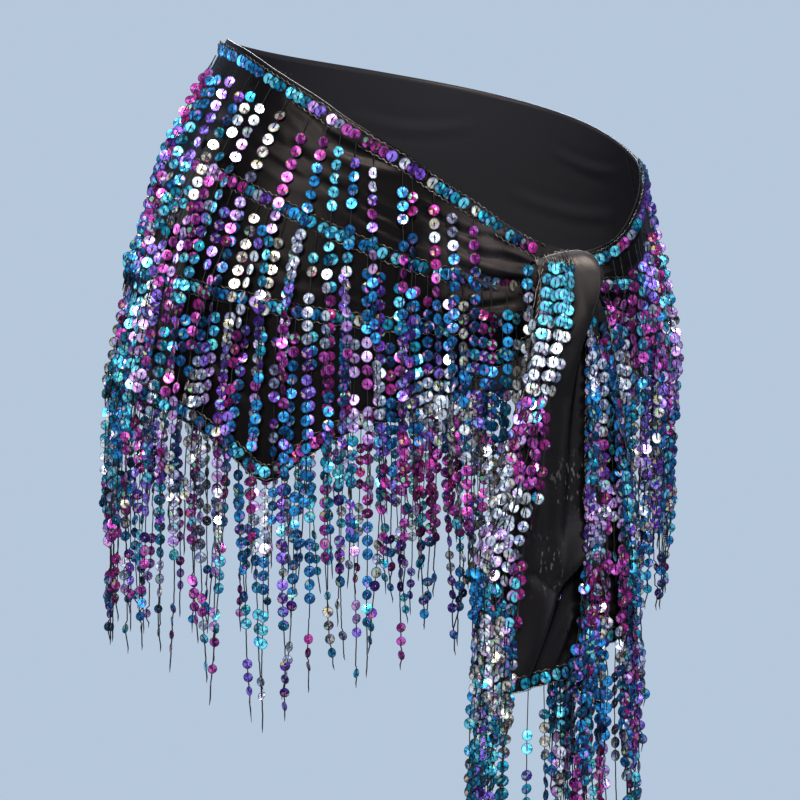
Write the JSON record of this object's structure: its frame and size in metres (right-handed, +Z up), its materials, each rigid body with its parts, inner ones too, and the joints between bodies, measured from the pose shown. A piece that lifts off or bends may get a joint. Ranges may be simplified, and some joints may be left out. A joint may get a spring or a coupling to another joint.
{
  "type": "belly dance hip scarf",
  "caption": "Black satin hip scarf with rows of sequin fringe, wound round the hips and tied at the left front in a knot whose two ends hang down.",
  "frame": {"origin": "on the axis of the hips, at the height where the hips carry the scarf", "axes": "+Z up; the wearer faces -Y; +X is the wearer's left"},
  "size_m": [0.3696, 0.2881, 0.5483],
  "materials": {
    "black_satin": "soft black stretch satin with a low sheen",
    "sequin_band": "overlapping iridescent sequins between two grey metallic chain threads",
    "sequin_fringe": "strands of iridescent sequins in silver, turquoise, blue, violet and magenta on black thread"
  },
  "bodies": {
    "root": {"wrap_front": "black_satin", "wrap_left": "black_satin", "wrap_back": "black_satin", "knot": "black_satin", "tail_front": "black_satin", "tail_rear": "black_satin", "band_row1_front": "sequin_band", "band_row1_left": "sequin_band", "band_row1_back": "sequin_band", "band_row2_front": "sequin_band", "band_row2_left": "sequin_band", "band_row2_back": "sequin_band", "band_row3_front": "sequin_band", "band_row3_left": "sequin_band", "band_row3_back": "sequin_band", "band_row4_front": "sequin_band", "band_row4_left": "sequin_band", "band_row4_back": "sequin_band", "fringe_row1_front": "sequin_fringe", "fringe_row1_left": "sequin_fringe", "fringe_row1_back": "sequin_fringe", "fringe_row2_front": "sequin_fringe", "fringe_row2_left": "sequin_fringe", "fringe_row2_back": "sequin_fringe", "fringe_row3_front": "sequin_fringe", "fringe_row3_left": "sequin_fringe", "fringe_row3_back": "sequin_fringe", "fringe_row4_front": "sequin_fringe", "fringe_row4_left": "sequin_fringe", "fringe_row4_back": "sequin_fringe", "band_tail_front_left": "sequin_band", "fringe_tail_front_left": "sequin_fringe", "band_tail_front_right": "sequin_band", "fringe_tail_front_right": "sequin_fringe", "band_tail_front_end": "sequin_band", "fringe_tail_front_end": "sequin_fringe", "band_tail_rear_left": "sequin_band", "fringe_tail_rear_left": "sequin_fringe", "band_tail_rear_right": "sequin_band", "fringe_tail_rear_right": "sequin_fringe", "band_tail_rear_end": "sequin_band", "fringe_tail_rear_end": "sequin_fringe"}
  },
  "joints": []
}
